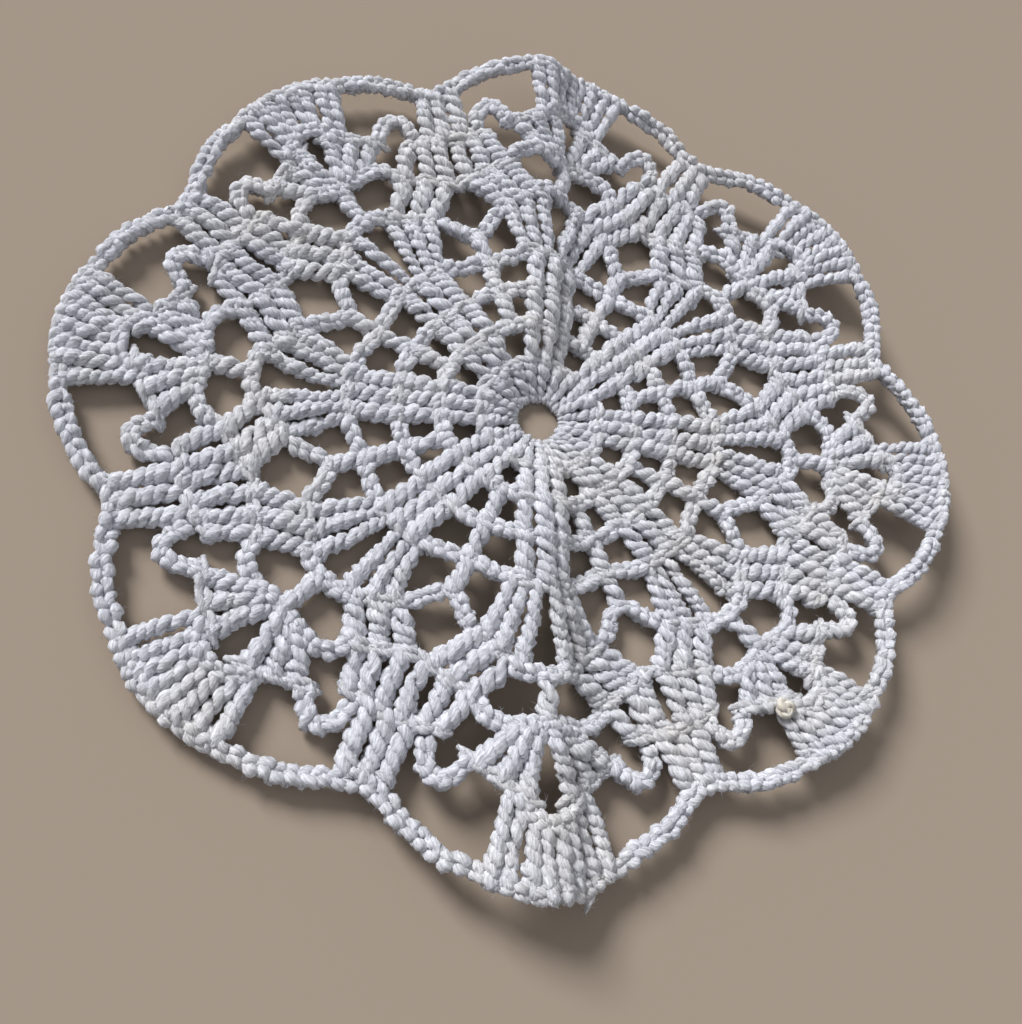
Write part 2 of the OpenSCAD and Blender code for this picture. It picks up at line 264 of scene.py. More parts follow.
@dataclass(frozen=True)
class Yarn:
    """A cotton yarn of plies twisted together.

    Its surface is r(a) = radius * (1 + lobe * cos(plies * a)) round the centre
    line, turned by 2 pi for every `pitch` of length, so the lobes wind along
    the strand as plies do. Each point then strays from it by the share `rough`,
    and the UVs of a closed end run on by `tip`.
    """

    plies: int = 3
    sides: int = 9
    lobe: float = 0.085
    pitch: float = 8.5 * MM
    rough: float = 0.045
    tip: float = 0.3 * MM

    def frames(self, lines: Array) -> tuple:
        """Carries a frame along each line, turning as little as it can: the
        last side vector, less its part along the new tangent, made a unit.

        Args:
            lines: centre lines of shape (strands, points, 3).

        Returns:
            The tangents and two side vectors, each of the lines' shape.
        """
        t = unit(np.gradient(lines, axis=1))
        n = np.empty_like(t)
        seed = np.where(np.abs(t[:, 0, 2:3]) < 0.8, [[0.0, 0.0, 1.0]], [[1.0, 0.0, 0.0]])
        for i in range(lines.shape[1]):
            seed = unit(seed - t[:, i] * np.sum(seed * t[:, i], axis=-1, keepdims=True))
            n[:, i] = seed
        return t, n, np.cross(t, n)

    def sweep(self, strands: Strands, spin: Array, rng: np.random.Generator) -> dict:
        """Carries the plied profile along the strands and closes both ends.

        Args:
            strands: the centre lines and radii.
            spin: the turn of each strand's profile at its start, in radians.
            rng: strays the points.

        Returns:
            Arrays for a mesh: its points with the number of each one's strand,
            its quads and triangles, and the UVs of both.
        """
        lines, radii = strands.lines, strands.radii
        n, m, _ = lines.shape
        t, side, up = self.frames(lines)
        step = np.linalg.norm(np.diff(lines, axis=1), axis=-1)
        along = np.concatenate([np.zeros((n, 1)), np.cumsum(step, axis=1)], axis=1)
        a = np.arange(self.sides) * 2.0 * math.pi / self.sides
        turn = (along * 2.0 * math.pi / self.pitch + spin[:, None])[..., None] + a
        r = (radii[..., None] * (1.0 + self.lobe * np.cos(self.plies * a))
             * (1.0 + self.rough * rng.normal(size=turn.shape)))[..., None]
        ring = lines[:, :, None] + r * (np.cos(turn)[..., None] * side[:, :, None]
                                        + np.sin(turn)[..., None] * up[:, :, None])
        ends = lines[:, [0, -1]] + t[:, [0, -1]] * radii[:, [0, -1], None] * [[[-0.5], [0.5]]]
        points = np.concatenate([ring.reshape(-1, 3), ends.reshape(-1, 3)])
        s = np.arange(self.sides)
        nxt = (s + 1) % self.sides
        first = np.arange(n)[:, None] * m * self.sides
        final = first + (m - 1) * self.sides
        pole = n * m * self.sides + 2 * np.arange(n)[:, None]
        base = first[..., None] + np.arange(m - 1)[None, :, None] * self.sides
        over = base + self.sides
        u0, u1 = s / self.sides + 0 * base, (s + 1) / self.sides + 0 * base
        v0, v1 = along[:, :-1, None] + 0 * u0, along[:, 1:, None] + 0 * u0
        us = s / self.sides + 0 * first
        un = us + 1.0 / self.sides
        um, none, end = (us + un) / 2.0, 0 * us, along[:, -1:] + 0 * us
        tuv = [corner_uvs((um, un, us), (none - self.tip, none, none)),
               corner_uvs((um, us, un), (end + self.tip, end, end))]
        strand = np.concatenate([np.repeat(np.arange(n), m * self.sides),
                                 np.repeat(np.arange(n), 2)])
        return {"points": points, "strand": strand,
                "quads": corners(base + s, base + nxt, over + nxt, over + s),
                "tris": np.concatenate([corners(pole, first + nxt, first + s),
                                        corners(pole + 1, final + s, final + nxt)]),
                "quv": corner_uvs((u0, u1, u1, u0), (v0, v0, v1, v1)),
                "tuv": np.concatenate(tuv)}


def mesh_from(name: str, parts: list, rng: np.random.Generator) -> bpy.types.Object:
    """Joins swept parts into one mesh object with its UVs and strand shades.

    Args:
        name: the object's name.
        parts: the arrays that Yarn.sweep returns.
        rng: gives each strand a shade between 0 and 1.

    Returns:
        The linked object, at the origin, with its place in its mesh.
    """
    starts = np.cumsum([0] + [len(part["points"]) for part in parts])
    points = np.concatenate([part["points"] for part in parts])
    quads, tris = (np.concatenate([part[key] + start for part, start in zip(parts, starts)])
                   for key in ("quads", "tris"))
    uv = np.concatenate([part[key] for key in ("quv", "tuv") for part in parts])
    shade = np.concatenate([rng.random(part["strand"].max() + 1)[part["strand"]]
                            for part in parts])
    mesh = bpy.data.meshes.new(name)
    mesh.vertices.add(len(points))
    mesh.vertices.foreach_set("co", points.astype(np.float32).ravel())
    loops = np.concatenate([quads.ravel(), tris.ravel()])
    mesh.loops.add(len(loops))
    mesh.loops.foreach_set("vertex_index", loops.astype(np.int32))
    total = np.concatenate([np.full(len(quads), 4), np.full(len(tris), 3)])
    mesh.polygons.add(len(total))
    mesh.polygons.foreach_set("loop_start", (np.cumsum(total) - total).astype(np.int32))
    mesh.polygons.foreach_set("loop_total", total.astype(np.int32))
    mesh.polygons.foreach_set("use_smooth", np.ones(len(total), bool))
    mesh.uv_layers.new(name="Yarn").data.foreach_set("uv", uv.astype(np.float32).ravel())
    mesh.attributes.new("strand_shade", "FLOAT", "POINT").data.foreach_set(
        "value", shade.astype(np.float32))
    mesh.update(calc_edges=True)
    mesh.validate()
    piece = bpy.data.objects.new(name, mesh)
    bpy.context.scene.collection.objects.link(piece)
    return piece


# --- finish
class Nodes:
    """Writes the nodes of a material or world, one line to a node."""

    def __init__(self, tree: bpy.types.NodeTree) -> None:
        """Takes a tree and empties it."""
        self.tree = tree
        tree.nodes.clear()

    def feed(self, socket: bpy.types.NodeSocket, value: object) -> None:
        """Gives an input what it reads.

        Args:
            socket: the input.
            value: a number or colour, an output, or a node for its first output.
        """
        if isinstance(value, bpy.types.Node):
            value = value.outputs[0]
        if isinstance(value, bpy.types.NodeSocket):
            self.tree.links.new(value, socket)
        else:
            socket.default_value = value

    def add(self, kind: str, **values: object) -> bpy.types.Node:
        """Adds one node.

        Args:
            kind: its type, without "ShaderNode" in front.
            values: its properties, and its inputs by name with _ for a space.

        Returns:
            The node.
        """
        made = self.tree.nodes.new("ShaderNode" + kind)
        for key, value in values.items():
            name = key.replace("_", " ")
            if name in made.inputs:
                self.feed(made.inputs[name], value)
            else:
                setattr(made, key, value)
        return made

    def math(self, operation: str, *terms: object) -> bpy.types.Node:
        """Returns a new Math node over terms, as feed takes them."""
        made = self.add("Math", operation=operation)
        for socket, term in zip(made.inputs, terms):
            self.feed(socket, term)
        return made


@dataclass(frozen=True)
class CottonFinish:
    """Matt mercerised cotton: plies wound round the strand, with painted shade in
    the grooves between them, fine fibres along them, soft stains of cream, and a low sheen of
    loose fibre."""

    shade: Shade
    colour: tuple
    # deep is painted shade: the colour that the grooves between the plies are painted in
    deep: tuple
    stain: tuple
    stain_share: float
    plies: int = 3
    roughness: float = 0.86
    sheen: float = 0.22
    drawn_out: float = 0.24 / (1.25 * MM)
    strands_apart: float = 40.0

    def streaks(self, nodes: Nodes, around: object, along: object, own: object) -> object:
        """Adds the fibres: noise on the strand's own cylinder, drawn out along
        it, so that they wind with the plies and differ from strand to strand.

        Args:
            nodes: the material's nodes.
            around, along: the place on the strand, in turns and in metres.
            own: the strand's own number.

        Returns:
            The noise node.
        """
        turn = nodes.math("MULTIPLY", around, 2.0 * math.pi)
        ahead = nodes.math("MULTIPLY", along, self.drawn_out)
        drum = nodes.add("CombineXYZ", X=nodes.math("COSINE", turn), Y=nodes.math("SINE", turn),
                         Z=nodes.math("MULTIPLY_ADD", own, self.strands_apart, ahead))
        return nodes.add("TexNoise", Vector=drum, Scale=2.3, Detail=5.0, Roughness=0.7)

    def material(self) -> bpy.types.Material:
        """Writes the finish, or finds it where it is written already.

        Returns:
            The material.
        """
        name = self.shade.value + "_cotton"
        if name in bpy.data.materials:
            return bpy.data.materials[name]
        mat = bpy.data.materials.new(name)
        mat.use_nodes = True
        nodes = Nodes(mat.node_tree)
        add = nodes.add
        place = add("TexCoord").outputs["Object"]
        own = add("Attribute", attribute_name="strand_shade").outputs["Fac"]
        split = add("SeparateXYZ", Vector=add("UVMap", uv_map="Yarn")).outputs
        streak = self.streaks(nodes, split["X"], split["Y"], own)
        fibre = add("TexNoise", Vector=place, Scale=2600.0, Detail=3.0, Roughness=0.62)
        low = add("Bump", Height=streak, Strength=0.95, Distance=0.5 * MM)
        high = add("Bump", Height=fibre, Normal=low, Strength=0.45, Distance=0.2 * MM)
        # painted shade and light: the grooves between plies are painted darker, in the deep
        # colour, and the crests paler, as light would fall on them
        ply = nodes.math("COSINE", nodes.math("MULTIPLY", split["X"],
                                              2.0 * math.pi * self.plies))
        painted_crest_light = add("MapRange", Value=ply, From_Min=-1.0, To_Min=0.0)
        painted_ply_shading = add("Mix", data_type="RGBA", Factor=painted_crest_light, A=(*self.deep, 1.0),
                   B=(*self.colour, 1.0))
        cloud = add("TexNoise", Vector=place, Scale=34.0, Detail=3.0, Roughness=0.55)
        ramp = add("MapRange", Value=cloud, From_Min=0.5, From_Max=0.78,
                   To_Max=self.stain_share)
        stained = add("Mix", data_type="RGBA", Factor=ramp, A=painted_ply_shading.outputs["Result"],
                      B=(*self.stain, 1.0))
        # strands differ, lumps of fibre catch or lose the light, hairs streak
        vary = add("MapRange", Value=own, To_Min=0.94, To_Max=1.03)
        lumps = add("TexNoise", Vector=place, Scale=1150.0, Detail=2.0, Roughness=0.5)
        fleck = add("MapRange", Value=lumps, From_Min=0.3, From_Max=0.62, To_Min=0.84)
        hairs = add("MapRange", Value=streak, From_Min=0.38, From_Max=0.6,
                    To_Min=0.58, To_Max=1.06)
        shades = nodes.math("MULTIPLY", nodes.math("MULTIPLY", vary, fleck), hairs)
        final = add("Mix", data_type="RGBA", blend_type="MULTIPLY", Factor=1.0,
                    A=stained.outputs["Result"], B=shades)
        shader = add("BsdfPrincipled", Base_Color=final.outputs["Result"], Normal=high,
                     Roughness=self.roughness, Sheen_Weight=self.sheen,
                     Sheen_Roughness=0.55, Specular_IOR_Level=0.28)
        add("OutputMaterial", Surface=shader)
        return mat


# each finish: its colour, then deep, the painted shade of the ply grooves, then the stain colour
# and its share
FINISHES = {
    Shade.WHITE: CottonFinish(Shade.WHITE, (0.84, 0.85, 0.92), (0.75, 0.755, 0.82),
                              (0.86, 0.81, 0.73), 0.5),
    Shade.IVORY: CottonFinish(Shade.IVORY, (0.84, 0.845, 0.905), (0.755, 0.755, 0.80),
                              (0.86, 0.80, 0.71), 0.6),
    Shade.CREAM: CottonFinish(Shade.CREAM, (0.87, 0.83, 0.76), (0.78, 0.72, 0.62),
                              (0.80, 0.71, 0.56), 0.4),
}


# --- stitches
@dataclass(frozen=True)
class Upright:
    """An upright stitch: two strands of yarn drawn tight round each other.

    A strand stands off the stitch's middle line sideways by (half - r) cos w,
    and out of the cloth by lift sin w, in full where half is full_room. Here w
    makes one turn for every pitch of height. A collar of yarn crosses below the
    top: sideways half sin a, out by lift cos a, down by rise a / 2 pi.
    """

    pitch: float = 5.5 * MM
    lift: float = 0.8 * MM
    thick: float = 1.35 * MM
    rise: float = 4.5 * MM
    collar: float = 0.86
    rings: int = 26
    full_room: float = 1.9 * MM
    least_strand: float = 0.8 * MM
    collar_strand: tuple = (0.7 * MM, 0.95 * MM)
    slack: tuple = (0.1, 1.0)
    uneven: tuple = (0.86, 1.1)

    def work(self, foot: Array, top: Array, low: Array, high: Array, normal: Array,
             rng: np.random.Generator, start: float = -0.1, curl: float = 1.0 * MM) -> list:
        """Works many stitches at once.

        Args:
            foot, top: points of shape (stitches, 3).
            low, high: half the room of each stitch at its foot and top.
            normal: the cloth's normals there.
            rng: gives each stitch a turn, bend and slackness of its own.
            start: where the strands start, as a share of the height.
            curl: how far they dip behind the row below.

        Returns:
            The Strands of their two legs and their collars.
        """
        n = len(foot)
        axis = top - foot
        length = np.linalg.norm(axis, axis=1)[:, None]
        side = unit(np.cross(axis, normal))
        out = unit(np.cross(side, axis))
        t = np.linspace(start, 1.05, self.rings)[None, :]
        up = np.clip(t, 0.0, 1.0)
        half = mix(low[:, None], high[:, None], up)
        dip = curl * np.clip(t / min(start, -0.01), 0.0, 1.0) ** 2
        front = rng.uniform(-0.2, 0.7, (n, 1)) * MM * np.sin(math.pi * up)
        bend = rng.normal(0.0, 0.28, (n, 1)) * MM * np.sin(math.pi * up)
        rate = rng.uniform(0.85, 1.2, (n, 1)) * 2.0 * math.pi * length / self.pitch
        begin = rng.normal(0.6, 0.7, (n, 1))
        loose = rng.uniform(*self.slack, (n, 1))
        strands = []
        for phase in (0.0, math.pi):
            w = phase + begin + rate * t + loose * np.sin(2.2 * math.pi * t + begin)
            r = (np.clip(0.59 * half, self.least_strand, self.thick)
                 * (1.0 + 0.1 * np.sin(w)) * rng.uniform(*self.uneven, (n, 1)))
            wide = np.maximum(half - r, 0.3 * MM) * np.cos(w) + bend
            deep = self.lift * np.sin(w) * np.clip(half / self.full_room, 0.6, 1.0) - dip + front
            strands.append(Strands(carry(foot, axis, t, (side, wide), (out, deep)), r))
        a = np.linspace(-0.9 * math.pi, 0.9 * math.pi, 11)[None, :]
        at = self.collar + rng.normal(0.0, 0.05, (n, 1))
        half = mix(low[:, None], high[:, None], at)
        thick = np.clip(0.5 * half, *self.collar_strand) * rng.uniform(0.85, 1.1, (n, 1))
        h = at - rng.uniform(0.5, 1.3, (n, 1)) * self.rise / length * a / (2.0 * math.pi)
        wide = (half - 0.6 * thick) * np.sin(a)
        deep = (self.lift + 0.25 * MM) * np.cos(a) * np.clip(half / self.full_room, 0.6, 1)
        strands.append(Strands(carry(foot, axis, h, (side, wide), (out, deep)),
                               thick * (0.85 + 0.2 * np.cos(a))))
        return strands


@dataclass(frozen=True)
class Link:
    """One chain link: a V of two legs that leaves the last link low, swells to
    each side and dips under the next, and a back strand below them."""

    width: float = 3.3 * MM
    lift: float = 0.0
    roll: float = 0.12
    pitch: float = 3.6 * MM
    rings: int = 9
    back_rings: int = 6
    thickest: float = 1.32 * MM
    sway: float = 0.04

    def work(self, a: Array, b: Array, normal: Array, roll: Array,
             rng: np.random.Generator) -> list:
        """Works many links at once.

        A leg stands aside by (width / 2 - r) times a share that grows from 0.1
        to 1 and falls to 0.6 under the next link, and out of the cloth by width
        times a half sine that falls to -0.3 there.

        Args:
            a, b: where each link starts and ends, of shape (links, 3).
            normal: the cloth's normals there.
            roll: the turn of each link about its own axis.
            rng: gives each link a sway and legs of its own thickness.

        Returns:
            The Strands of their two legs and their back strands.
        """
        n = len(a)
        axis = b - a
        flat = unit(np.cross(axis, normal))
        high = unit(np.cross(flat, axis))
        side = flat * np.cos(roll)[:, None] + high * np.sin(roll)[:, None]
        out = high * np.cos(roll)[:, None] - flat * np.sin(roll)[:, None]
        r0 = min(self.width * 0.29, self.thickest)
        t = np.linspace(-0.15, 1.3, self.rings)[None, :]
        bow = np.sin(math.pi * np.clip(t, 0, 1))
        under = smooth((t - 0.9) / 0.4)
        spread = (self.width / 2.0 - r0) * (0.1 + 0.9 * smooth((t + 0.15) / 0.7) - 0.4 * under)
        hump = np.sin(math.pi * np.clip((t + 0.1) / 1.25, 0, 1))
        deep = self.lift + self.width * (-0.1 + 0.24 * hump - 0.2 * under)
        sway = rng.normal(0.0, self.sway, (n, 1)) * self.width
        strands = []
        for hand in (-1.0, 1.0):
            r = r0 * (0.88 + 0.16 * bow) * rng.uniform(0.92, 1.08, (n, 1))
            line = carry(a, axis, t + 0.08 * hand, (side, hand * spread + sway * bow),
                         (out, deep + 0 * sway))
            strands.append(Strands(line, r))
        t = np.linspace(-0.15, 1.15, self.back_rings)[None, :]
        deep = self.lift - self.width * (0.16 + 0.05 * np.sin(math.pi * np.clip(t, 0, 1)))
        strands.append(Strands(carry(a, axis, t, (out, deep + 0 * sway)),
                               r0 + np.zeros((n, self.back_rings))))
        return strands


@dataclass
class Piece:
    """A named run of stitches that stands for one CAD node.

    A stitch takes half_room of its room to each side, or lone_room of the limit
    where it stands alone. The strays are in millimetres.
    """

    node: str
    cloth: Cloth
    shade: Shade = Shade.WHITE
    yarn: Yarn = field(default_factory=Yarn)
    strands: list = field(default_factory=list)
    half_room: float = 0.57
    lone_room: float = 0.52
    post_stray_mm: float = 0.2
    link_stray_mm: float = 0.1
    slow_sines: tuple = ((0.7, 0.15), (1.6, 0.1), (2.9, 0.05))
    swell: float = 0.1

    def __post_init__(self) -> None:
        """Seeds this piece's own small irregularities from its name."""
        self.rng = np.random.default_rng(sum(map(ord, self.node)) * 7919 % 99991)

    def posts(self, feet: Array, tops: Array, stitch: Upright = Upright(),
              limit: float = 4.9 * MM, least: float = 1.7 * MM, **more: float) -> None:
        """Works upright stitches between two rows.

        Each stitch's room is the mean of the gaps to its neighbours, up to limit.

        Args:
            feet, tops: points of shape (groups, stitches, 3).
            stitch: how each is worked.
            limit: the widest room of one stitch.
            least: the least half room, where the stitches crowd together.
            more: start and curl of the legs.
        """
        if feet.shape[1] > 1:
            rooms = []
            axis = unit(tops - feet)
            for row in (feet, tops):
                gap = np.diff(row, axis=1)
                lean = axis[:, 1:]
                d = np.linalg.norm(gap - lean * np.sum(gap * lean, -1, keepdims=True), axis=-1)
                left = np.concatenate([d[:, :1], d], axis=1)
                right = np.concatenate([d, d[:, -1:]], axis=1)
                rooms.append(np.minimum((left + right) / 2.0, limit).reshape(-1)
                             * self.half_room)
        else:
            rooms = [np.full(feet.shape[0], limit * self.lone_room)] * 2
        rooms = [np.maximum(room, least) * self.rng.uniform(0.93, 1.07, room.shape)
                 for room in rooms]
        foot, top = (row.reshape(-1, 3)
                     + self.rng.normal(0.0, self.post_stray_mm, (feet.size // 3, 3)) * MM
                     for row in (feet, tops))
        normal = self.cloth.normal((foot + top) / 2.0)
        self.strands += stitch.work(foot, top, rooms[0], rooms[1], normal, self.rng, **more)

    def links(self, points: Array, link: Link) -> None:
        """Works runs of links, each with a roll that changes slowly along it.

        Args:
            points: where the links meet, of shape (runs, points, 3).
            link: how each link is worked.
        """
        points = points + self.rng.normal(0.0, self.link_stray_mm, points.shape) * MM
        a, b = points[:, :-1].reshape(-1, 3), points[:, 1:].reshape(-1, 3)
        runs, count = points.shape[0], points.shape[1] - 1
        slow = np.sin(np.arange(count) * 0.7 + self.rng.uniform(0.0, 6.3, (runs, 1)))
        roll = link.roll * (slow + self.rng.normal(0.0, 0.6, (runs, 1)))
        self.strands += link.work(a, b, self.cloth.normal((a + b) / 2.0), roll.reshape(-1),
                                  self.rng)

    def chain(self, points: Array, link: Link) -> None:
        """Works a chain of even links along smooth curves through the points.

        A span from b to c, with the points a and d on each side, is (2 b +
        (c - a) f + (2 a - 5 b + 4 c - d) f2 + (3 b - a - 3 c + d) f3) / 2.

        Args:
            points: the points of the runs, of shape (runs, points, 3).
            link: how each link is worked, with its pitch.
        """
        last = points.shape[1] - 1
        p = np.concatenate([2.0 * points[:, :1] - points[:, 1:2], points,
                            2.0 * points[:, -1:] - points[:, -2:-1]], axis=1)

        def span(t: Array) -> Array:
            """Returns the curves' points at t spans from their start."""
            i = np.minimum(t.astype(int), last - 1)
            f = (t - i)[None, :, None]
            a, b, c, d = (p[:, i + j] for j in range(4))
            return (2.0 * b + (c - a) * f + (2.0 * a - 5.0 * b + 4.0 * c - d) * f ** 2
                    + (3.0 * b - a - 3.0 * c + d) * f ** 3) / 2.0

        t = np.linspace(0.0, last, 24 * last + 1)
        step = np.linalg.norm(np.diff(span(t), axis=1), axis=-1).mean(axis=0)
        along = np.concatenate([[0.0], np.cumsum(step)])
        count = max(2, round(along[-1] / link.pitch))
        self.links(span(np.interp(np.linspace(0.0, along[-1], count + 1), along, t)), link)

    def crown(self, tops: Array, link: Link) -> None:
        """Works one link over the top of each stitch of a row.

        Args:
            tops: the tops of the stitches, of shape (rows, stitches, 3).
            link: how each link is worked.
        """
        if tops.shape[1] > 1:
            mid = (tops[:, :-1] + tops[:, 1:]) / 2.0
            first = 2.0 * tops[:, :1] - mid[:, :1]
            final = 2.0 * tops[:, -1:] - mid[:, -1:]
            self.links(np.concatenate([first, mid, final], axis=1), link)

    def relax(self, strands: Strands) -> Strands:
        """Lets strands lie as loosely as worked yarn does.

        Each centre line strays by three slow sines of its length, and its
        radius swells and thins by a fourth, all with shares and phases of its
        own. None sinks into the floor.

        Args:
            strands: the strands as worked.

        Returns:
            The strands as they lie.
        """
        n, m, _ = strands.lines.shape
        t = np.linspace(0.0, 2.0 * math.pi, m)[None, :]
        lines = strands.lines.copy()
        for turns, share in self.slow_sines:
            way = self.rng.normal(0.0, share, (n, 1, 3))
            wave = np.sin(turns * t + self.rng.uniform(0.0, 6.3, (n, 1)))
            lines += way * (wave * strands.radii)[..., None]
        swell = 1.0 + self.swell * np.sin(1.8 * t + self.rng.uniform(0.0, 6.3, (n, 1)))
        swell[:, [0, -1]] *= 0.7
        radii = strands.radii * swell
        lines[..., 2] = np.maximum(lines[..., 2], (1.005 + self.yarn.lobe) * radii)
        return Strands(lines, radii)

    def finish(self) -> bpy.types.Object:
        """Sweeps the yarn along every strand, dresses it and puts it in place
        of its CAD node. Returns the object."""
        parts = [self.yarn.sweep(self.relax(s),
                                 self.rng.random(len(s.lines)) * 2.0 * math.pi, self.rng)
                 for s in self.strands]
        piece = mesh_from(self.node + "_yarn", parts, self.rng)
        piece.data.materials.append(FINISHES[self.shade].material())
        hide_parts(self.node)
        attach(piece, "root")
        faces = sum(2 * len(p["quads"]) + len(p["tris"]) for p in parts)
        LOG.info("%s: %d strands, %d triangles", piece.name,
                 sum(len(s.lines) for s in self.strands), faces)
        return piece


TREBLE = Upright(rings=34)
FIRST = Upright(pitch=4.9 * MM, lift=0.7 * MM)
CROWN = Link(3.7 * MM, 0.4 * MM, 0.25)
CHAIN = Link(4.5 * MM, 0.2 * MM, 0.35, 2.8 * MM)
CORD = Link(5.0 * MM, 0.1 * MM, 0.35, 2.9 * MM)
RIM = Link(4.2 * MM, 0.1 * MM, 0.3, 3.1 * MM)
ONE = (1,)
BOTH = (1, -1)

# reaches that two sub-assemblies share: the top of round 4 over a fan and over
# a dip, and the top of round 6 over a fan
ROUND_4 = 0.452
VALLEY_4 = 0.428
FAN_6 = 0.776


def three(reach: float, pitch: float, middle: float = 0.0) -> list:
    """Returns three places of the pattern at one reach, a pitch apart."""
    return [[reach, middle + i * pitch] for i in (-1, 0, 1)]


# --- the doily
@dataclass
class Rounds:
    """Some rounds of the doily, and what their pieces have in common.

    Places of the pattern are [reach, angle] pairs, as Cloth.rows takes them.
    """

    cloth: Cloth

    def uprights(self, name: str, low: list, high: list, sides: tuple = ONE,
                 **more: object) -> Piece:
        """Works a piece of upright stitches.

        Args:
            name: the node that the piece stands for.
            low, high: the places of their feet and of their tops.
            sides: ONE, or BOTH to mirror them in each repeat.
            more: how they are worked, as Piece.posts takes it.

        Returns:
            The piece.
        """
        piece = Piece(name, self.cloth)
        piece.posts(self.cloth.rows(low, sides), self.cloth.rows(high, sides), **more)
        return piece

    def crown(self, name: str, tops: list, sides: tuple = ONE) -> Piece:
        """Returns the heads of a row of uprights, with their tops at tops."""
        piece = Piece(name, self.cloth, Shade.IVORY)
        piece.crown(self.cloth.rows(tops, sides), CROWN)
        return piece

    def chain(self, name: str, line: list, sides: tuple = ONE, link: Link = CHAIN,
              shade: Shade = Shade.WHITE) -> Piece:
        """Returns chains that run through the places of line, with link for
        the way each link is worked and shade for its colour."""
        piece = Piece(name, self.cloth, shade)
        piece.chain(self.cloth.rows(line, sides), link)
        return piece

    def single(self, name: str, low: float, high: float, u: float,
               half_link: float = 2.2 * MM) -> Piece:
        """Works one lone upright per repeat, with one link over it.

        Args:
            name: the node that the piece stands for.
            low, high, u: the reach of its foot and of its top, and its angle.
            half_link: half the length of the link.

        Returns:
            The piece.
        """
        c = self.cloth
        piece = self.uprights(name, [[low, u]], [[high, u]])
        wide = half_link / (c.radius * high) / (math.pi / c.repeats)
        piece.links(c.rows([[high, u - wide], [high, u + wide]]), CROWN)
        return piece


@dataclass
class MeshCentre(Rounds):
    """Rounds 1 to 4: the ring and the groups of three with chains between."""

    ring: float = 7.8 / 105.0
    rounds: tuple = (0.148, 0.24, 0.336, ROUND_4)
    core_radius: float = 6.75 * MM
    core_height: float = 1.5 * MM
    core_turns: float = 5.0
    loops: int = 34

    def starting_ring(self) -> Piece:
        """Works the ring: strands wound round a circle, and loops over them.

        Both have the radius R - b cos w and the height z + b sin w. For the
        three strands w makes core_turns in one round. The loops are the feet of
        the first stitches, and their w makes nearly one turn.

        Returns:
            The piece.
        """
        piece = Piece("starting_ring", self.cloth, Shade.IVORY)
        a = np.linspace(0.0, 2.04 * math.pi, 73)[None, :]
        w = self.core_turns * a + (np.arange(3) * 2.0 * math.pi / 3.0)[:, None]
        start = np.arange(self.loops)[:, None] * math.pi / (self.loops / 2.0)
        for turn, way, b, thick in (
                (a, w, 0.4 * MM, 0.6 * MM),
                (start + np.linspace(0.0, 0.16, 12)[None, :],
                 np.linspace(-0.2, 1.8 * math.pi, 12)[None, :], 0.75 * MM, 0.62 * MM)):
            r = self.core_radius - b * np.cos(way) + 0.0 * turn
            z = self.core_height + b * np.sin(way) + 0.0 * turn
            lines = np.stack([r * np.cos(turn), r * np.sin(turn) + self.cloth.centre_off, z],
                             axis=-1)
            piece.strands.append(Strands(lines, np.full(r.shape, thick)))
        return piece

    def pieces(self) -> list:
        """Returns the pieces of the mesh centre, from the ring outward."""
        r1, r2, r3, r4 = self.rounds
        made = [self.starting_ring(),
                self.uprights("round_1_posts", three(self.ring, 2 / 3), three(r1, 2 / 3),
                              stitch=FIRST, least=1.25 * MM, start=-0.27, curl=1.5 * MM),
                self.crown("round_1_crown", three(r1, 2 / 3))]
        for name, low, high, fan0, fan1 in (("round_2", r1, r2, 0.53, 0.45),
                                            ("round_3", r2, r3, 0.41, 0.36),
                                            ("round_4", r3, r4, 0.32, 0.27)):
            made += [self.uprights(name + "_groups", three(low, fan0), three(high, fan1)),
                     self.crown(name + "_crowns", three(high, fan1))]
        made.append(self.chain("round_2_chain_spaces", [[r2, 0.66], [r2, 1.0], [r2, 1.34]]))
        for name, low, high, run in (
                ("round_3", r2, r3, [[r3, 0.53], [r3, 0.84]]),
                ("round_4", r3, VALLEY_4,
                 [[r4 - 0.003, 0.4], [r4 - 0.013, 0.64], [VALLEY_4, 0.87]])):
            made += [self.single(name + "_single_posts", low, high, 1.0, 2.3 * MM),
                     self.chain(name + "_chain_spaces", run, BOTH)]
        return made


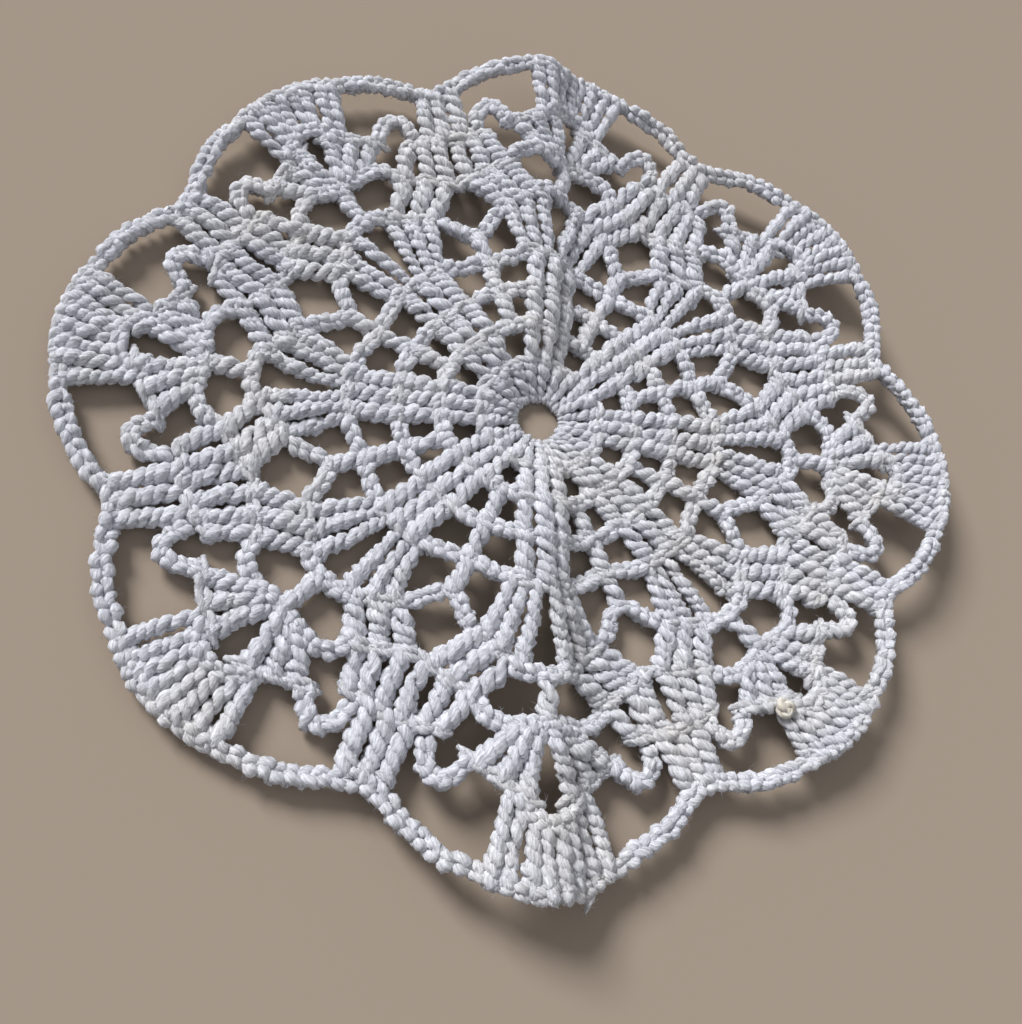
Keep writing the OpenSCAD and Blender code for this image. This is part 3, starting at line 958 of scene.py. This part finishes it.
@dataclass
class Leaves(Rounds):
    """Rounds 5 to 7: the groups split and their halves lean together into the
    leaf over each dip, with chains over the fan's middle."""

    feet_5: tuple = ((ROUND_4 - 0.004, 0.38), (ROUND_4 - 0.002, 0.235), (ROUND_4, 0.085))
    crown_5: tuple = ((0.6, 0.585), (0.62, 0.405))
    last_5: tuple = (0.648, 0.21)
    valley_5: float = 0.516
    fork: tuple = ((0.65, 0.29), (0.663, 0.1), (0.663, -0.1), (0.65, -0.29))
    slope: tuple = ((0.583, 0.68), (0.552, 0.79), (0.519, 0.91))
    feet_6: tuple = ((0.643, 0.28), (0.614, 0.435), (0.592, 0.61))
    crown_6: tuple = ((0.73, 0.55), (0.712, 0.73), (0.691, 0.902))
    arm: tuple = ((FAN_6, 0.06), (0.786, 0.2), (0.787, 0.325), (0.773, 0.44), (0.745, 0.5))
    tops_7: tuple = ((0.824, 0.69), (0.83, 0.805), (0.833, 0.925))

    def pieces(self) -> list:
        """Returns the pieces of rounds 5 to 7 that make the leaves."""
        return [
            self.uprights("round_5_split_groups", self.feet_5,
                          [*self.crown_5, self.last_5], BOTH),
            self.crown("round_5_crowns", self.crown_5, BOTH),
            self.single("round_5_single_posts", VALLEY_4, self.valley_5, 1.0),
            self.chain("round_5_fork_chains", self.fork),
            self.chain("round_5_sloping_chains", self.slope, BOTH),
            self.uprights("round_6_leaf_sides", self.feet_6, self.crown_6, BOTH),
            self.crown("round_6_crowns", self.crown_6, BOTH),
            self.single("round_6_single_posts", self.fork[1][0], FAN_6, 0.0),
            self.chain("round_6_chain_arms", self.arm, BOTH),
            self.uprights("round_7_leaf_ribs", self.crown_6, self.tops_7, BOTH),
            self.crown("round_7_crowns", self.tops_7, BOTH)]


@dataclass
class Scallops(Rounds):
    """Rounds 7 and 8 and the edge: shells, fans, leaf tips, cords and arches."""

    shell_feet: tuple = ((FAN_6, 0.025), (FAN_6 + 0.002, 0.095), (FAN_6 + 0.007, 0.168))
    shell: tuple = ((0.918, 0.14), (0.899, 0.29), (0.872, 0.43))
    shell_chain: tuple = ((0.918, 0.2), (0.95, 0.135), (0.966, 0.05), (0.966, -0.05),
                          (0.95, -0.135), (0.918, -0.2))
    arc: tuple = ((0.866, 0.475), (0.904, 0.55), (0.925, 0.635), (0.904, 0.722), (0.85, 0.752))
    fan: tuple = tuple(i - 3.5 for i in range(8))
    cord: tuple = ((1.096, 0.0), (1.093, 0.13), (1.083, 0.26), (1.07, 0.385))
    arch: tuple = ((1.069, 0.4), (1.062, 0.495), (1.05, 0.605), (1.033, 0.71),
                   (1.012, 0.81), (0.99, 0.9), (0.98, 0.985))

    def pieces(self) -> list:
        """Returns the pieces of the scallops, outward to the edge.

        The feet of a fan's stitches bend inward by 0.005 i i from the chain
        under them, and the tops by 0.0014 i i from the cord, where i counts
        from the fan's middle.
        """
        return [
            self.uprights("round_7_shells", self.shell_feet, self.shell, BOTH,
                          least=2.2 * MM),
            self.crown("round_7_shell_crowns", self.shell, BOTH),
            self.chain("round_7_shell_chains", self.shell_chain),
            self.chain("round_7_chain_arcs", self.arc, BOTH),
            self.uprights("round_8_leaf_tips", three(0.831, 0.14, 1), three(0.982, 0.1, 1),
                          stitch=TREBLE),
            self.uprights("round_8_fans", [[0.966 - 0.005 * i * i, i * 0.064] for i in self.fan],
                          [[self.cord[0][0] - 0.0014 * (i * i - 0.25), i * 0.088]
                           for i in self.fan], stitch=TREBLE),
            self.chain("edge_fan_cords", self.cord, BOTH, RIM, Shade.IVORY),
            self.chain("edge_arches", self.arch, BOTH, CORD),
            self.knot(), self.tail()]

    def knot(self) -> Piece:
        """Works the tied knot: a strand on a trefoil, x = (2 + cos 3a) cos 2a,
        y = (2 + cos 3a) sin 2a, z = sin 3a, drawn tight.

        Returns:
            The piece.
        """
        piece = Piece("fastening_knot", self.cloth, Shade.CREAM)
        low, high = (np.array(v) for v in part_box("fastening_knot"))
        a = np.linspace(0.0, 2.02 * math.pi, 60)[None, :]
        scale = (high - low) * [0.15, 0.15, 0.2]
        line = np.stack([(2.0 + np.cos(3 * a)) * np.cos(2 * a),
                         (2.0 + np.cos(3 * a)) * np.sin(2 * a), np.sin(3 * a)], axis=-1)
        piece.strands.append(Strands((low + high) / 2.0 + line * scale,
                                     np.full(a.shape, 0.95 * MM)))
        return piece

    def tail(self) -> Piece:
        """Works the cut yarn end: three plies p = -1, 0, 1 that leave the cord
        apart and close to a point. In millimetres, a ply runs out by 3.9 t - 2.6,
        aside by 0.8 p (1 - t) - 1.4 t t - 2, and up by 0.3 + 0.3 p t.

        Returns:
            The piece.
        """
        piece = Piece("yarn_tail", self.cloth, Shade.IVORY)
        low, high = (np.array(v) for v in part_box("yarn_tail"))
        mid = (low + high) / 2.0
        mid[2] = self.cloth.height(mid[0], mid[1]) + 1.3 * MM
        out = unit(mid * [1.0, 1.0, 0.0])
        along = unit(np.cross([0.0, 0.0, 1.0], out))
        t = np.linspace(0.0, 1.0, 12)[None, :]
        ply = np.array([-1.0, 0.0, 1.0])[:, None]
        line = (mid + out * ((-2.6 + 3.9 * t) * MM)[..., None]
                - along * (1.4 * MM * t * t + 2.0 * MM)[..., None]
                + along * (ply * (1.0 - t) * 0.8 * MM)[..., None]
                + np.array([0.0, 0.0, 1.0]) * ((0.3 + 0.3 * ply * t) * MM)[..., None])
        piece.strands.append(Strands(line, (0.75 - 0.5 * t) * MM + 0 * ply))
        return piece


@dataclass
class LooseFibres:
    """The bloom of short fibres that stand off the yarn.

    A fibre leaves a random point of the yarn along its normal and bends to a
    random side: p + length (0.7 t normal + bend t squared side).
    """

    name: str
    count: int = 10500
    length: float = 1.35 * MM
    thick: float = 0.045 * MM
    share_of_length: tuple = (0.35, 1.25)
    bends: tuple = (0.2, 1.3)

    def build(self, pieces: list) -> bpy.types.Object:
        """Scatters the fibres over pieces, in step with their points.

        Args:
            pieces: the objects that the fibres stand on.

        Returns:
            The object of all the fibres.
        """
        rng = np.random.default_rng(sum(map(ord, self.name)))
        spots, normals = [], []
        total = sum(len(p.data.vertices) for p in pieces)
        for piece in pieces:
            n = len(piece.data.vertices)
            pick = rng.integers(0, n, max(1, round(self.count * n / total)))
            for key, kept in (("co", spots), ("normal", normals)):
                values = np.empty(n * 3, np.float32)
                piece.data.vertices.foreach_get(key, values)
                kept.append(values.reshape(-1, 3)[pick])
        p, n = np.concatenate(spots).astype(float), np.concatenate(normals).astype(float)
        side = unit(np.cross(n, rng.normal(size=p.shape)))
        t = np.linspace(0.0, 1.0, 3)[None, :, None]
        length = self.length * rng.uniform(*self.share_of_length, (len(p), 1, 1))
        bend = rng.uniform(*self.bends, (len(p), 1, 1))
        line = p[:, None] + length * (t * n[:, None] * 0.7 + bend * t * t * side[:, None])
        line[..., 2] = np.maximum(line[..., 2], 0.1 * MM)
        thin = self.thick * (1.0 - 0.6 * t[..., 0]) + np.zeros((len(p), 1))
        hair = Yarn(plies=1, sides=3, lobe=0.0, pitch=1.0, rough=0.0)
        piece = mesh_from(self.name, [hair.sweep(Strands(line, thin), np.zeros(len(p)), rng)],
                          rng)
        piece.data.materials.append(FINISHES[Shade.WHITE].material())
        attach(piece, "root")
        LOG.info("%s: %d fibres", piece.name, len(p))
        return piece


# --- studio
@dataclass(frozen=True)
class Studio:
    """The floor, the soft light and the camera."""

    floor_colour: tuple = (0.335, 0.272, 0.216)
    floor_reach: float = 15.0
    wall_colour: tuple = (0.50, 0.45, 0.40)
    sky_colour: tuple = (0.93, 0.95, 1.0)
    sky_power: float = 0.38
    key: tuple = ((-1.8, 2.05, 1.85), math.radians(22.0), 3.95)
    fill: tuple = ((1.8, -1.0, 2.0), math.radians(60.0), 0.25)
    camera_at: tuple = (-0.06794, -0.10727, 0.2153)
    tilt_x: float = -0.3605
    tilt_y: float = -0.2765
    lens: float = 33.4

    def floor(self) -> None:
        """Builds the pale floor: a flat grid of one face, far larger than the
        doily."""
        mesh = bpy.data.meshes.new("floor")
        e = self.floor_reach
        mesh.from_pydata([(-e, -e, 0), (e, -e, 0), (e, e, 0), (-e, e, 0)], [], [(0, 1, 2, 3)])
        floor = bpy.data.objects.new("floor", mesh)
        bpy.context.scene.collection.objects.link(floor)
        mat = bpy.data.materials.new("pale_floor")
        mat.use_nodes = True
        nodes = Nodes(mat.node_tree)
        nodes.add("OutputMaterial", Surface=nodes.add(
            "BsdfPrincipled", Base_Color=(*self.floor_colour, 1.0), Roughness=1.0,
            Specular_IOR_Level=0.0))
        mesh.materials.append(mat)

    def lamp(self, name: str, place: tuple, spread: float, power: float) -> None:
        """Adds one far, soft light, so that the whole floor is lit alike.

        Args:
            name: the lamp's name.
            place: a point that it shines from, towards the doily.
            spread: how wide it looks, as an angle.
            power: its strength.
        """
        data = bpy.data.lights.new(name, "SUN")
        data.angle, data.energy = spread, power
        lamp = bpy.data.objects.new(name, data)
        lamp.location = place
        lamp.rotation_euler = (-Vector(place)).to_track_quat("-Z", "Y").to_euler()
        bpy.context.scene.collection.objects.link(lamp)

    def camera(self) -> None:
        """Sets the camera from its place and its two tilts: the view axes are
        the rows of the turn about x times the turn about y."""
        cx, sx = math.cos(self.tilt_x), math.sin(self.tilt_x)
        cy, sy = math.cos(self.tilt_y), math.sin(self.tilt_y)
        rows = np.array([[cy, 0, sy], [sx * sy, cx, -sx * cy], [-cx * sy, sx, cx * cy]])
        flip = np.array([1.0, -1.0, -1.0])
        right, up, ahead = rows[0] * flip, -rows[1] * flip, rows[2] * flip
        data = bpy.data.cameras.new("camera")
        data.lens, data.sensor_width, data.clip_start = self.lens, 36.0, 0.01
        camera = bpy.data.objects.new("camera", data)
        camera.matrix_world = Matrix([(*(float(v[i]) for v in (right, up, -ahead)),
                                       self.camera_at[i]) for i in range(3)] + [(0, 0, 0, 1)])
        bpy.context.scene.collection.objects.link(camera)
        bpy.context.scene.camera = camera

    def sky(self) -> None:
        """Lights the scene evenly with a cool grey sky, and shows a pale wall
        behind the floor to the camera and in what mirrors or lets through."""
        world = bpy.data.worlds.new("studio")
        world.use_nodes = True
        nodes = Nodes(world.node_tree)
        sky = nodes.add("Background", Color=(*self.sky_colour, 1.0), Strength=self.sky_power)
        wall = nodes.add("Background", Color=(*self.wall_colour, 1.0))
        rays = nodes.add("LightPath").outputs
        share = rays["Is Camera Ray"]
        for kind in ("Is Glossy Ray", "Is Transmission Ray"):
            share = nodes.math("ADD", share, rays[kind])
            share.use_clamp = True
        both = nodes.add("MixShader")
        for socket, value in zip(both.inputs, (share, sky, wall)):
            nodes.feed(socket, value)
        nodes.add("OutputWorld", Surface=both)
        bpy.context.scene.world = world

    def build(self) -> None:
        """Builds the whole studio."""
        self.floor()
        self.camera()
        self.lamp("key", *self.key)
        self.lamp("fill", *self.fill)
        self.sky()
        bpy.context.scene.view_settings.view_transform = "Standard"


def main() -> None:
    """Builds the studio, then the doily from its centre outward."""
    logging.basicConfig(level=logging.INFO, format="%(name)s: %(message)s")
    Studio().build()
    cloth = Cloth()
    made = [piece.finish() for part in (MeshCentre(cloth), Leaves(cloth), Scallops(cloth))
            for piece in part.pieces()]
    # three pieces of fibres, because one would have too many triangles
    for name, part in (("middle", made[:16]), ("leaves", made[16:25]), ("rim", made[25:])):
        LooseFibres("loose_fibres_" + name).build(part)


if __name__ == "__main__":
    main()
